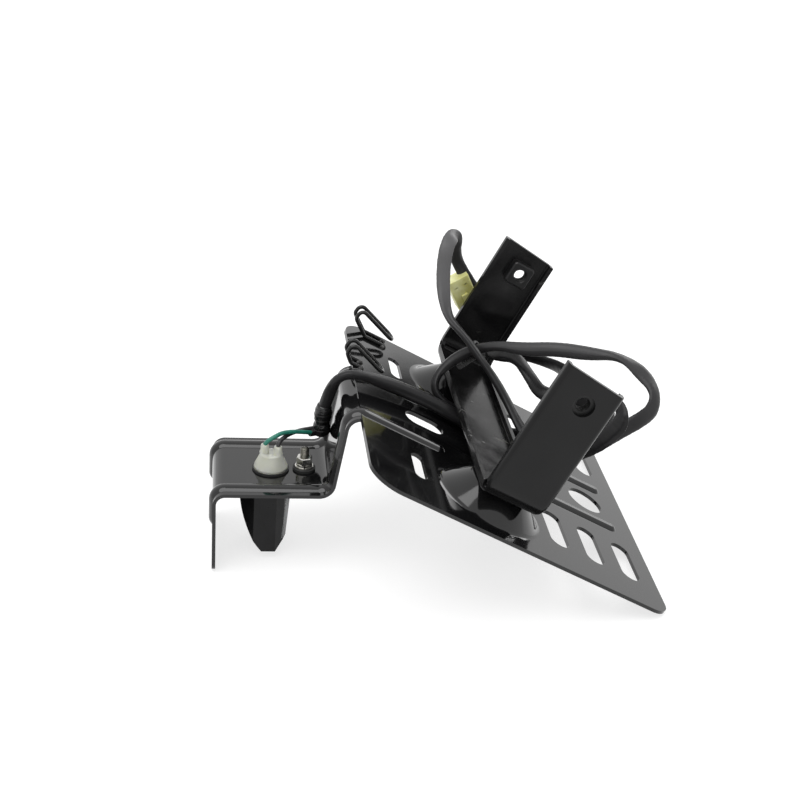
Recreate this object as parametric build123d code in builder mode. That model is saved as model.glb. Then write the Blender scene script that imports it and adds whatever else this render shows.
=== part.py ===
import os
from math import acos, cos, degrees, pi, radians, sin, sqrt, tan

from build123d import *

os.makedirs("parts", exist_ok=True)

# Driving dimensions in millimetres and degrees

# Carrier sheet: "along" runs down the plate from its top edge, "across" is world Y,
# "above" is measured from the plate's upper face
sheet = 2.0
plate_length = 184.0
plate_width = 204.0
plate_tilt = 30.0
top_corner_radius = 18.0
bottom_corner_radius = 11.0

# Tongue: riser, shelf and flange folded from the same sheet
tongue_width = 68.0
tongue_root = 6.0
edge_tolerance = 0.01
tongue_reach = 7.8
riser_length = 52.6
riser_lean = 12.0
shelf_length = 64.3
shelf_rise = 3.6
flange_lean = 3.0
flange_corner_radius = 6.0
first_fold_radius = 8.5
second_fold_radius = 7.0
third_fold_radius = 7.0

# Pressed beads over the tongue and ribs on the lower plate
bead_across = 26.0
bead_half_width = 4.5
bead_height = 1.9
bead_root = 0.5
bead_start = 49.0
bead_on_flange = 18.0
groove_half_width = 3.4
groove_depth = 1.5
rib_across = 22.0
rib_half_width = 3.6
rib_wall = 0.9
rib_start = 106.0
rib_from_end = 17.0

# Domes under the bracket
dome_along = 75.0
dome_across = 65.0
dome_foot = 30.0
dome_top = 17.0
dome_height = 12.5
dome_rim = 3.2
dome_lap = 0.4
dome_foot_fillet = 5.0
dome_top_fillet = 4.0

# Openings in the plate
lower_slot_first = 119.5
lower_slot_from_end = 17.5
lower_slot_across = 59.5
lower_slot_length = 37.0
lower_slot_width = 12.0
upper_slot_along = 32.0
upper_slot_across = 61.5
upper_slot_length = 27.0
upper_slot_width = 7.5
centre_slot_along = 44.0
centre_slot_length = 25.0
centre_slot_width = 14.0
round_hole_from_end = 29.0
round_hole_diameter = 23.0

# U bracket of lipped channel
bracket_width = 36.0
bracket_span = 188.0
bracket_sheet = 2.5
bracket_lip = 5.6
bracket_bend = 11.0
bracket_edge_radius = 3.2
bracket_inner_radius = 0.7
bracket_relief = 2.2
arm_top_upper = 96.5
arm_top_fall = 3.8
arm_trim = 5.0
arm_trim_margin = 1.0
arm_hole_offset = 1.0
arm_hole_below_top = 16.5
arm_hole_diameter = 12.0

# Square weld nuts
nut_side = 14.0
nut_height = 6.5
nut_bore = 8.0
nut_corner = 1.2
nut_edge = 0.7
nut_bore_edge = 0.35

# Wire hooks: side view points (along, above) of one strand, from the plate's top edge
hook_wire = 2.4
hook_strands = 8.6
hook_bend = 3.0
hook_weld_flat = 0.3
hook_nose_slack = 0.05
far_hook_inset = 11.0
far_hook_leg_end = 26.8
far_hook_toe = 13.0
far_hook_heel = (2.2, 9.0)
far_hook_crown = (3.2, 15.6)
far_hook_nose = (29.6, 6.2)
mid_hook_from_tongue = 3.5
mid_hook_leg_end = 5.6
mid_hook_toe = -1.6
mid_hook_heel = (-6.6, 5.4)
mid_hook_crown = (-5.9, 12.2)
mid_hook_nose = (18.4, 3.5)

# Lamp, measured on the shelf: "along" runs from the third fold toward the riser
lamp_across = -3.0
pad_thickness = 1.5
lamp_flange = 4.0
lamp_depth = 39.8
lamp_left = 15.5
lamp_right = 44.4
lamp_tip_left = 28.2
lamp_tip_right = 36.0
lamp_belly = 18.9
lamp_belly_drop = 24.0
lamp_half_length = 19.0
lamp_mid_half_length = 9.5
lamp_left_cut = 7.8
lamp_right_cut = 8.6
lamp_right_step = 4.1
lamp_right_step_across = 4.0
lamp_right_narrowing = 1.5
lamp_corner = 5.0
pad_inset = 0.5
lamp_wall = 2.2
lens_drop = 32.0
lens_top = 7.0
lens_bottom = 33.0
lens_thickness = 2.4
lens_setback = 2.6
lamp_flange_reach = 58.4

# Bulb holder and bulb
holder_along = 32.6
holder_plug_radius = 7.2
holder_clearance = 0.3
holder_base_radius = 9.7
holder_gasket_radius = 10.4
holder_gasket_thickness = 1.1
holder_rim = 1.2
holder_bulge_radius = 9.0
holder_bulge_height = 5.2
holder_top_radius = 5.7
holder_height = 8.4
holder_plug_length = 10.0
spigot_radius = 2.9
spigot_tip_radius = 2.2
spigot_height = 5.0
spigot_root = 3.0
spigot_spread = 3.7
spigot_skew = 1.0
bulb_radius = 4.2
bulb_length = 19.0
bulb_seat = 5.0

# Lamp fixing
stud_along = 51.4
stud_radius = 2.5
stud_above = 13.4
stud_below = 3.0
stud_clearance = 0.3
stud_edge = 0.5
rubber_washer_radius = 6.4
rubber_washer_thickness = 1.4
flat_washer_radius = 5.2
flat_washer_thickness = 1.0
spring_washer_radius = 4.6
spring_washer_thickness = 1.3
spring_washer_split = 0.8
spring_washer_turn = 20.0
lamp_nut_flats = 8.0
lamp_nut_height = 4.2
lamp_nut_edge = 0.4
lamp_nut_turn = 15.0

# Cords and what is on them
wire_diameter = 2.5
wire_pitch = 2.8
wire_lead = 3.6
wire_entry_dir = Vector(0.78, 0.54, -0.31)
bend_share = 0.45
sleeve_diameter = 7.0
collar_radius = 4.3
collar_length = 9.6
collar_facet = 3.3
collar_edge = 1.2
connector_width = 14.0
connector_thickness = 9.0
connector_length = 20.0
connector_edge = 1.0
connector_flat_dir = Vector(1, 0, 0.13)
cavity_width = 4.6
cavity_height = 5.2
cavity_depth = 13.0
cavity_pitch = 6.2
window_width = 2.2
window_height = 0.9
window_from_rear = 5.0
terminal_width = 2.6
terminal_thickness = 0.9
terminal_length = 8.0
latch_width = 4.0
latch_height = 1.6
latch_length = 9.0
tie_clearance = 0.3
tie_thickness = 1.2
tie_width = 4.6
tie_head_width = 6.4
tie_head_thickness = 4.6
tie_head_corner = 0.8
tie_tail = 13.0
tie_tail_offset = 1.6
tie_side = Vector(0.45, -0.35, -0.82)

# Derived directions and positions
rib_end = plate_length - rib_from_end
round_hole_along = plate_length - round_hole_from_end
lower_slot_last = plate_length - lower_slot_from_end
lower_slot_rows = [lower_slot_first, (lower_slot_first + lower_slot_last) / 2, lower_slot_last]
slope = radians(plate_tilt)
along_dir = Vector(cos(slope), 0, -sin(slope))
plate_normal = Vector(sin(slope), 0, cos(slope))
lean = radians(riser_lean)
rise = radians(shelf_rise)
splay = radians(flange_lean)
top_height = plate_length * sin(slope) + sheet * cos(slope)


def step(start, direction, distance):
    return (start[0] + direction[0] * distance, start[1] + direction[1] * distance)


# Corners of the tongue's outer face in the XZ plane, from the plate's top edge
fold_one = step((0, 0), (-cos(slope), sin(slope)), tongue_reach)
fold_two = step(fold_one, (-sin(lean), -cos(lean)), riser_length)
fold_three = step(fold_two, (-cos(rise), sin(rise)), shelf_length)
flange_length = (fold_three[1] + top_height - sheet * sin(splay)) / cos(splay)
flange_tip = step(fold_three, (-sin(splay), -cos(splay)), flange_length)
bead_tip = step(fold_three, (-sin(splay), -cos(splay)), bead_on_flange)
left_reach = min(flange_tip[0], bead_tip[0] - bead_height * cos(splay))
shift_x = -(left_reach + plate_length * cos(slope)) / 2
top_edge = Vector(shift_x, 0, top_height)


def on_plate(along, across, above):
    return top_edge + along_dir * along + Vector(0, across, 0) + plate_normal * above


def plate_plane(along, across, above=0.0):
    return Plane(origin=on_plate(along, across, above), x_dir=along_dir, z_dir=plate_normal)


shelf_dir = Vector(cos(rise), 0, -sin(rise))
shelf_normal = Vector(sin(rise), 0, cos(rise))
shelf_origin = Vector(shift_x + fold_three[0], 0, top_height + fold_three[1])


def on_shelf(along, across, above):
    return shelf_origin + shelf_dir * along + Vector(0, across, 0) + shelf_normal * above


def shelf_plane(along, across, above=0.0):
    return Plane(origin=on_shelf(along, across, above), x_dir=shelf_dir, z_dir=shelf_normal)


# A path parallel to an open chain of points, on its left side
def parallel(points, distance):
    normals = []
    for start, end in zip(points, points[1:]):
        dx = end[0] - start[0]
        dy = end[1] - start[1]
        size = sqrt(dx * dx + dy * dy)
        normals.append((-dy / size, dx / size))
    moved = [step(points[0], normals[0], distance)]
    for point, one, two in zip(points[1:-1], normals, normals[1:]):
        share = distance / (1 + one[0] * two[0] + one[1] * two[1])
        moved.append((point[0] + (one[0] + two[0]) * share, point[1] + (one[1] + two[1]) * share))
    moved.append(step(points[-1], normals[-1], distance))
    return moved


def write(part, node):
    part.label = node
    export_step(part, f"parts/{node}.step")


def in_world(points, across):
    return [Vector(shift_x + x, across, top_height + z) for x, z in points]


# Half of a bead's round-topped section, or all of it, standing on a face at height zero
def bead_section(half_width, height, left_edge):
    arc_radius = (half_width**2 + height**2) / (2 * height)
    root = sqrt(arc_radius**2 - (arc_radius - height - bead_root) ** 2)
    with BuildSketch() as section:
        with BuildLine():
            RadiusArc((-root, -bead_root), (root, -bead_root), arc_radius)
            Line((root, -bead_root), (-root, -bead_root))
        make_face()
        if left_edge:
            with Locations((-root, 0)):
                Rectangle(2 * root, 4 * height, mode=Mode.SUBTRACT)
    return section.sketch


# A shallow raised bead along a path that lies on a face, straight runs and folds, with rounded ends
def bead(points, radii, half_width, height):
    whole = bead_section(half_width, height, False)
    half = bead_section(half_width, height, True)
    with BuildPart() as raised:
        start = points[0]
        for before, corner, after, radius in zip(points, points[1:], points[2:], radii):
            one = (corner - before).normalized()
            two = (after - corner).normalized()
            turn = acos(one.dot(two))
            fold_start = corner - one * (radius * tan(turn / 2))
            centre = corner + (two - one).normalized() * (radius / cos(turn / 2))
            with BuildSketch(Plane(origin=start, x_dir=(0, -1, 0), z_dir=one)):
                add(whole)
            extrude(amount=(fold_start - start).length)
            with BuildSketch(Plane(origin=fold_start, x_dir=(0, -1, 0), z_dir=one)):
                add(whole)
            revolve(axis=Axis(centre, one.cross(two)), revolution_arc=degrees(turn))
            start = corner + two * (radius * tan(turn / 2))
        last_dir = (points[-1] - points[-2]).normalized()
        with BuildSketch(Plane(origin=start, x_dir=(0, -1, 0), z_dir=last_dir)):
            add(whole)
        extrude(amount=(points[-1] - start).length)
        for end, direction in ((points[0], points[1] - points[0]), (points[-1], last_dir)):
            end_plane = Plane(origin=end, x_dir=(0, -1, 0), z_dir=direction)
            with BuildSketch(end_plane):
                add(half)
            revolve(axis=Axis(end, end_plane.y_dir))
    return raised.part


# Number plate carrier
tongue_start = step((0, 0), (cos(slope), -sin(slope)), tongue_root)
upper_face = [tongue_start, fold_one, fold_two, fold_three, flange_tip]
under_face = parallel(upper_face, sheet)
upper_radii = [first_fold_radius, second_fold_radius, third_fold_radius]
under_radii = [first_fold_radius - sheet, second_fold_radius + sheet, third_fold_radius - sheet]
bead_top = step((0, 0), (cos(slope), -sin(slope)), bead_start)
bead_face = [bead_top, fold_one, fold_two, fold_three, bead_tip]
groove_face = parallel(bead_face, sheet)

raised_pieces = []
hollow_pieces = []
for side in (-1, 1):
    bead_at = side * bead_across
    raised_pieces.append(bead(in_world(bead_face, bead_at), upper_radii, bead_half_width, bead_height))
    hollow_pieces.append(bead(in_world(groove_face, bead_at), under_radii, groove_half_width, groove_depth))
    rib_at = side * rib_across
    rib_top = [on_plate(rib_end, rib_at, 0), on_plate(rib_start, rib_at, 0)]
    rib_below = [on_plate(rib_end, rib_at, -sheet), on_plate(rib_start, rib_at, -sheet)]
    raised_pieces.append(bead(rib_top, [], rib_half_width, bead_height))
    hollow_pieces.append(bead(rib_below, [], rib_half_width - rib_wall, groove_depth))

with BuildPart() as carrier:
    with BuildSketch(plate_plane(0, 0)) as outline:
        with Locations((plate_length / 2, 0)):
            Rectangle(plate_length, plate_width)
        fillet(outline.vertices().group_by(Axis.X)[0], radius=top_corner_radius)
        fillet(outline.vertices().group_by(Axis.X)[-1], radius=bottom_corner_radius)
        lower_slots = [(row, side * lower_slot_across) for row in lower_slot_rows for side in (-1, 1)]
        with Locations(lower_slots):
            SlotOverall(lower_slot_length, lower_slot_width, rotation=90, mode=Mode.SUBTRACT)
        with Locations([(upper_slot_along, side * upper_slot_across) for side in (-1, 1)]):
            SlotOverall(upper_slot_length, upper_slot_width, rotation=90, mode=Mode.SUBTRACT)
        with Locations((centre_slot_along, 0)):
            SlotOverall(centre_slot_length, centre_slot_width, mode=Mode.SUBTRACT)
        with Locations((round_hole_along, 0)):
            Circle(round_hole_diameter / 2, mode=Mode.SUBTRACT)
        with Locations([(dome_along, side * dome_across) for side in (-1, 1)]):
            Circle(dome_foot + dome_rim - dome_lap, mode=Mode.SUBTRACT)
    extrude(amount=-sheet)

    with BuildSketch(Plane(origin=top_edge, x_dir=(1, 0, 0), z_dir=(0, -1, 0))):
        with BuildLine():
            outer = FilletPolyline(*upper_face, radius=upper_radii)
            inner = FilletPolyline(*under_face, radius=under_radii)
            Line(outer @ 0, inner @ 0)
            Line(outer @ 1, inner @ 1)
        make_face()
    extrude(amount=tongue_width / 2, both=True)
    corner_edges = [
        edge
        for edge in carrier.edges().filter_by(GeomType.LINE)
        if edge.center().X < shift_x + flange_tip[0] + 2 * sheet
        and edge.center().Z < 2 * sheet
        and abs(edge.length - sheet) < edge_tolerance
    ]
    fillet(corner_edges, radius=flange_corner_radius)

    dome_flank = [(dome_foot, 0), (dome_top, dome_height)]
    dome_upper = [(dome_foot + dome_rim, 0)] + dome_flank + [(0, dome_height)]
    dome_under = parallel(dome_upper, sheet)
    dome_under_radii = [dome_foot_fillet + sheet, dome_top_fillet - sheet]
    for side in (-1, 1):
        centre = on_plate(dome_along, side * dome_across, 0)
        with BuildSketch(Plane(origin=centre, x_dir=along_dir, z_dir=(0, -1, 0))):
            with BuildLine():
                over = FilletPolyline(*dome_upper, radius=[dome_foot_fillet, dome_top_fillet])
                below = FilletPolyline(*dome_under, radius=dome_under_radii)
                Line(over @ 0, below @ 0)
                Line(over @ 1, below @ 1)
            make_face()
        revolve(axis=Axis(centre, plate_normal))

    for piece in raised_pieces:
        add(piece)
    for piece in hollow_pieces:
        add(piece, mode=Mode.SUBTRACT)

    with Locations(shelf_plane(holder_along, lamp_across)):
        Cylinder(holder_plug_radius + holder_clearance, 4 * sheet, mode=Mode.SUBTRACT)
    with Locations(shelf_plane(stud_along, lamp_across)):
        Cylinder(stud_radius + stud_clearance, 4 * sheet, mode=Mode.SUBTRACT)

write(carrier.part, "number_plate_carrier")

# Mounting bracket
half_span = bracket_span / 2
arm_top_lower = arm_top_upper - arm_top_fall
arm_hole_above = arm_top_upper - arm_hole_below_top
trim_half_width = bracket_width / 2 + arm_trim_margin
with BuildPart() as bracket:
    with BuildLine() as bracket_run:
        FilletPolyline(
            on_plate(dome_along, -half_span, arm_top_upper),
            on_plate(dome_along, -half_span, dome_height),
            on_plate(dome_along, half_span, dome_height),
            on_plate(dome_along, half_span, arm_top_upper),
            radius=bracket_bend,
        )
    channel_plane = Plane(origin=bracket_run.line @ 0, x_dir=along_dir, z_dir=bracket_run.line % 0)
    with BuildSketch(channel_plane) as channel:
        with Locations((0, -bracket_lip / 2)):
            Rectangle(bracket_width, bracket_lip)
        fillet(channel.vertices().group_by(Axis.Y)[-1], radius=bracket_edge_radius)
        with BuildSketch(mode=Mode.SUBTRACT) as trough:
            with Locations((0, -bracket_sheet - bracket_lip / 2)):
                Rectangle(bracket_width - 2 * bracket_sheet, bracket_lip)
            fillet(trough.vertices().group_by(Axis.Y)[-1], radius=bracket_inner_radius)
    sweep(path=bracket_run.line)

    side_view = Plane(origin=on_plate(dome_along, 0, 0), x_dir=along_dir, z_dir=(0, -1, 0))
    with BuildSketch(side_view):
        with BuildLine():
            Polyline(
                (-trim_half_width, arm_top_upper),
                (trim_half_width, arm_top_lower),
                (trim_half_width, arm_top_upper + arm_trim),
                (-trim_half_width, arm_top_upper + arm_trim),
                close=True,
            )
        make_face()
    extrude(amount=bracket_span, both=True, mode=Mode.SUBTRACT)
    with BuildSketch(side_view):
        with Locations((arm_hole_offset, arm_hole_above)):
            Circle(arm_hole_diameter / 2)
    extrude(amount=bracket_span, both=True, mode=Mode.SUBTRACT)
    notch = half_span - bracket_lip
    for side in (-1, 1):
        corner = Plane(
            origin=on_plate(dome_along, side * notch, dome_height + bracket_lip),
            x_dir=(0, 1, 0),
            z_dir=along_dir,
        )
        with Locations(corner):
            Cylinder(bracket_relief, 2 * trim_half_width, mode=Mode.SUBTRACT)

write(bracket.part, "mounting_bracket")


# Square weld nuts on the arms' inner faces
def weld_nut(side):
    face = Plane(
        origin=on_plate(dome_along + arm_hole_offset, side * (half_span - bracket_sheet), arm_hole_above),
        x_dir=along_dir,
        z_dir=(0, -side, 0),
    )
    with BuildPart() as nut:
        with BuildSketch(face) as square:
            Rectangle(nut_side, nut_side)
            chamfer(square.vertices(), length=nut_corner)
            Circle(nut_bore / 2, mode=Mode.SUBTRACT)
        extrude(amount=nut_height)
        inner_face = nut.faces().sort_by(Axis((0, 0, 0), (0, -side, 0)))[-1]
        chamfer(inner_face.outer_wire().edges(), length=nut_edge)
        chamfer(inner_face.inner_wires()[0].edges(), length=nut_bore_edge)
    return nut.part


write(weld_nut(-1), "weld_nut_near")
write(weld_nut(1), "weld_nut_far")


# Hairpin wire hooks, their legs welded flat on the plate
def cable_hook(leg_end, toe, heel, crown, nose, across):
    leg_level = hook_wire / 2 - hook_weld_flat
    side_points = [(leg_end, leg_level), (toe, leg_level), heel, crown, nose]
    strands = []
    for side in (1, -1):
        strand = [on_plate(u, across + side * hook_strands / 2, v) for u, v in side_points]
        strands.append(strand)
    points = strands[0] + strands[1][::-1]
    nose_bend = hook_strands / 2 - hook_nose_slack
    leg_bends = [hook_bend, hook_bend, hook_bend]
    with BuildPart() as hook:
        with BuildLine() as wire:
            FilletPolyline(*points, radius=leg_bends + [nose_bend, nose_bend] + leg_bends)
        with BuildSketch(Plane(origin=wire.line @ 0, z_dir=wire.line % 0)):
            Circle(hook_wire / 2)
        sweep(path=wire.line)
        split(bisect_by=plate_plane(leg_end, across), keep=Keep.TOP)
    return hook.part


far_hook_across = plate_width / 2 - far_hook_inset
mid_hook_across = tongue_width / 2 + mid_hook_from_tongue
far_hook = cable_hook(
    far_hook_leg_end, far_hook_toe, far_hook_heel, far_hook_crown, far_hook_nose, far_hook_across
)
mid_hook = cable_hook(
    mid_hook_leg_end, mid_hook_toe, mid_hook_heel, mid_hook_crown, mid_hook_nose, mid_hook_across
)
write(far_hook, "cable_hook_far")
write(mid_hook, "cable_hook_mid")

# Lamp pad, housing and lens under the shelf
pad_top = -sheet
housing_top = -sheet - pad_thickness
body_bottom = housing_top - lamp_depth
lens_right = lamp_right - lens_setback
front_half_length = lamp_mid_half_length - lamp_right_narrowing
step_half_length = lamp_half_length - lamp_right_step_across


def lamp_plan(inset):
    with BuildSketch() as plan:
        with BuildLine():
            Polyline(
                (lamp_left, -lamp_mid_half_length),
                (lamp_left + lamp_left_cut, -lamp_half_length),
                (lamp_right - lamp_right_cut, -lamp_half_length),
                (lamp_right - lamp_right_step, -step_half_length),
                (lamp_right, -front_half_length),
                (lamp_right, front_half_length),
                (lamp_right - lamp_right_step, step_half_length),
                (lamp_right - lamp_right_cut, lamp_half_length),
                (lamp_left + lamp_left_cut, lamp_half_length),
                (lamp_left, lamp_mid_half_length),
                close=True,
            )
        make_face()
        if inset > 0:
            offset(amount=-inset, kind=Kind.INTERSECTION, mode=Mode.REPLACE)
    return plan.sketch


def lamp_side(inset):
    with BuildSketch() as view:
        with BuildLine():
            ThreePointArc(
                (lamp_left, housing_top),
                (lamp_belly, housing_top - lamp_belly_drop),
                (lamp_tip_left, body_bottom),
            )
            Polyline(
                (lamp_tip_left, body_bottom),
                (lamp_tip_right, body_bottom),
                (lens_right, housing_top - lens_drop),
                (lamp_right, housing_top),
                (lamp_left, housing_top),
            )
        make_face()
        if inset > 0:
            offset(amount=-inset, kind=Kind.INTERSECTION, mode=Mode.REPLACE)
    return view.sketch


shelf_top_view = shelf_plane(0, lamp_across)
shelf_side_view = Plane(origin=on_shelf(0, lamp_across, 0), x_dir=shelf_dir, z_dir=(0, -1, 0))


def lamp_body(inset):
    with BuildPart() as body:
        with BuildSketch(shelf_top_view):
            add(lamp_plan(inset))
        extrude(amount=-2 * lamp_depth)
        with BuildSketch(shelf_side_view):
            add(lamp_side(inset))
        extrude(amount=lamp_half_length * 2, both=True, mode=Mode.INTERSECT)
    return body.part


def lens_region():
    back = lamp_right - lens_thickness
    front = lamp_right + lens_thickness
    with BuildPart() as region:
        with BuildSketch(shelf_side_view):
            with BuildLine():
                Polyline(
                    (back - lens_setback * lens_top / lens_drop, housing_top - lens_top),
                    (front, housing_top - lens_top),
                    (front, housing_top - lens_bottom),
                    (back - lens_setback * lens_bottom / lens_drop, housing_top - lens_bottom),
                    close=True,
                )
            make_face()
        extrude(amount=lamp_half_length * 2, both=True)
    return region.part


pad_length = lamp_flange_reach - lamp_left - 2 * pad_inset
pad_width = 2 * (lamp_half_length - pad_inset)
with BuildPart() as pad:
    with BuildSketch(shelf_plane(0, lamp_across, pad_top)):
        with Locations(((lamp_left + lamp_flange_reach) / 2, 0)):
            RectangleRounded(pad_length, pad_width, lamp_corner)
        with Locations((holder_along, 0)):
            Circle(holder_plug_radius + holder_clearance, mode=Mode.SUBTRACT)
        with Locations((stud_along, 0)):
            Circle(stud_radius + stud_clearance, mode=Mode.SUBTRACT)
    extrude(amount=-pad_thickness)

write(pad.part, "lamp_pad")

lamp_outside = lamp_body(0)
lamp_inside = lamp_body(lamp_wall)
lens_slab = lens_region()

with BuildPart() as housing:
    add(lamp_outside)
    with BuildSketch(shelf_plane(0, lamp_across, housing_top)):
        with Locations(((lamp_left + lamp_flange_reach) / 2, 0)):
            RectangleRounded(lamp_flange_reach - lamp_left, lamp_half_length * 2, lamp_corner)
    extrude(amount=-lamp_flange)
    add(lens_slab, mode=Mode.SUBTRACT)
    add(lamp_inside, mode=Mode.SUBTRACT)
    with Locations(shelf_plane(holder_along, lamp_across, housing_top)):
        Cylinder(holder_plug_radius + holder_clearance, 4 * lamp_flange, mode=Mode.SUBTRACT)
    with Locations(shelf_plane(stud_along, lamp_across, housing_top - stud_below / 2)):
        Cylinder(stud_radius, stud_below, mode=Mode.SUBTRACT)

write(housing.part, "lamp_housing")

with BuildPart() as lens:
    add(lamp_outside)
    add(lens_slab, mode=Mode.INTERSECT)

write(lens.part, "lamp_lens")

# Bulb holder with two wire spigots, its sealing ring and the bulb
base_level = holder_gasket_thickness
holder_axis = Axis(on_shelf(holder_along, lamp_across, 0), shelf_normal)
holder_section = Plane(origin=on_shelf(holder_along, lamp_across, 0), x_dir=shelf_dir, z_dir=(0, -1, 0))
with BuildPart() as holder:
    with BuildSketch(holder_section) as profile:
        with BuildLine():
            Polyline(
                (0, base_level + holder_height),
                (0, bulb_seat - holder_plug_length),
                (bulb_radius, bulb_seat - holder_plug_length),
                (bulb_radius, -holder_plug_length),
                (holder_plug_radius, -holder_plug_length),
                (holder_plug_radius, base_level),
                (holder_base_radius, base_level),
                (holder_base_radius, base_level + holder_rim),
            )
            ThreePointArc(
                (holder_base_radius, base_level + holder_rim),
                (holder_bulge_radius, base_level + holder_bulge_height),
                (holder_top_radius, base_level + holder_height),
            )
            Line((holder_top_radius, base_level + holder_height), (0, base_level + holder_height))
        make_face()
    revolve(axis=holder_axis)
    for side in (-1, 1):
        foot = shelf_plane(
            holder_along + side * spigot_spread,
            lamp_across - side * spigot_skew,
            base_level + holder_height + (spigot_height - spigot_root) / 2,
        )
        with Locations(foot):
            Cone(spigot_radius, spigot_tip_radius, spigot_height + spigot_root)

write(holder.part, "bulb_holder")

with BuildPart() as ring:
    with BuildSketch(shelf_plane(holder_along, lamp_across)):
        Circle(holder_gasket_radius)
        Circle(holder_plug_radius + holder_clearance, mode=Mode.SUBTRACT)
    extrude(amount=holder_gasket_thickness)

write(ring.part, "holder_gasket")

bulb_top = bulb_seat - holder_plug_length
with BuildPart() as bulb:
    with BuildSketch(holder_section):
        with BuildLine():
            Polyline((0, bulb_top - bulb_length), (0, bulb_top), (bulb_radius, bulb_top))
            Line((bulb_radius, bulb_top), (bulb_radius, bulb_top - bulb_length + bulb_radius))
            RadiusArc(
                (bulb_radius, bulb_top - bulb_length + bulb_radius),
                (0, bulb_top - bulb_length),
                bulb_radius,
            )
        make_face()
    revolve(axis=holder_axis)

write(bulb.part, "bulb")


# Stacked fixing on the lamp's stud
def washer(level, thickness, outer_radius, node):
    with BuildPart() as disc:
        with BuildSketch(shelf_plane(stud_along, lamp_across, level)):
            Circle(outer_radius)
            Circle(stud_radius + stud_clearance, mode=Mode.SUBTRACT)
        extrude(amount=thickness)
    write(disc.part, node)


flat_level = rubber_washer_thickness
spring_level = flat_level + flat_washer_thickness
nut_level = spring_level + spring_washer_thickness
washer(0, rubber_washer_thickness, rubber_washer_radius, "rubber_washer")
washer(flat_level, flat_washer_thickness, flat_washer_radius, "flat_washer")

with BuildPart() as spring:
    with BuildSketch(shelf_plane(stud_along, lamp_across, spring_level)):
        Circle(spring_washer_radius)
        Circle(stud_radius + stud_clearance, mode=Mode.SUBTRACT)
        with Locations((0, -spring_washer_radius)):
            Rectangle(
                spring_washer_split,
                2 * spring_washer_radius,
                rotation=spring_washer_turn,
                mode=Mode.SUBTRACT,
            )
    extrude(amount=spring_washer_thickness)

write(spring.part, "spring_washer")

with BuildPart() as lamp_nut:
    with BuildSketch(shelf_plane(stud_along, lamp_across, nut_level)):
        RegularPolygon(lamp_nut_flats / 2, 6, major_radius=False, rotation=lamp_nut_turn)
        Circle(stud_radius, mode=Mode.SUBTRACT)
    extrude(amount=lamp_nut_height)
    crown_edges = lamp_nut.faces().sort_by(Axis((0, 0, 0), shelf_normal))[-1].outer_wire().edges()
    chamfer(crown_edges, length=lamp_nut_edge)

write(lamp_nut.part, "lamp_nut")

with BuildPart() as stud:
    stud_length = stud_above + sheet + pad_thickness + stud_below
    with Locations(shelf_plane(stud_along, lamp_across, stud_above - stud_length / 2)):
        Cylinder(stud_radius, stud_length)
    chamfer(stud.faces().sort_by(Axis((0, 0, 0), shelf_normal))[-1].edges(), length=stud_edge)

write(stud.part, "lamp_stud")


# A cord's round tube: straight runs joined by tangent arcs, each as large as its runs allow
def cord_tube(points, diameter, node):
    runs = [end - start for start, end in zip(points, points[1:])]
    radii = []
    for one, two in zip(runs, runs[1:]):
        turn = acos(one.normalized().dot(two.normalized()))
        radii.append(bend_share * min(one.length, two.length) / tan(turn / 2))
    with BuildPart() as tube:
        with BuildLine() as route:
            FilletPolyline(*points, radius=radii)
        with BuildSketch(Plane(origin=points[0], z_dir=runs[0])):
            Circle(diameter / 2)
        sweep(path=route.line)
    length = sum(edge.length for edge in route.edges())
    share = tube.part.volume / (pi * diameter * diameter / 4 * length)
    print(node, "length", round(length, 1), "volume share", round(share, 4))
    print(node, "radii", [round(radius, 1) for radius in radii])
    write(tube.part, node)


def vectors(*points):
    return [Vector(*point) for point in points]


# Harness sleeve, from the taped collar by the riser to the connector behind the far arm, with a cable tie
# between the two lists of points
sleeve_to_tie = vectors(
    (-57.2, 14.6, 67.6),
    (-56.8, 13.4, 75.6),
    (-55.2, 10.8, 84.6),
    (-52.4, 7.6, 93.0),
    (-48.4, 5.0, 100.6),
    (-41.6, 4.2, 103.4),
    (-33.4, 5.4, 100.6),
    (-22.0, 10.6, 92.9),
    (-8.5, 14.8, 84.9),
    (5.0, 16.6, 77.0),
    (18.5, 15.0, 69.0),
    (31.5, 11.0, 61.3),
    (46.0, 5.5, 52.8),
    (62.0, -2.0, 47.6),
    (80.0, -13.0, 51.0),
    (95.0, -23.0, 60.0),
    (105.5, -28.0, 70.0),
    (116.0, -26.5, 75.6),
    (125.2, -19.5, 81.0),
    (128.8, -9.5, 90.0),
    (124.0, 0.0, 98.0),
    (111.0, 6.5, 103.4),
    (96.0, 12.5, 105.8),
    (79.0, 19.0, 105.6),
    (62.0, 27.0, 106.0),
    (48.0, 38.0, 103.0),
    (35.0, 46.5, 95.8),
)
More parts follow.
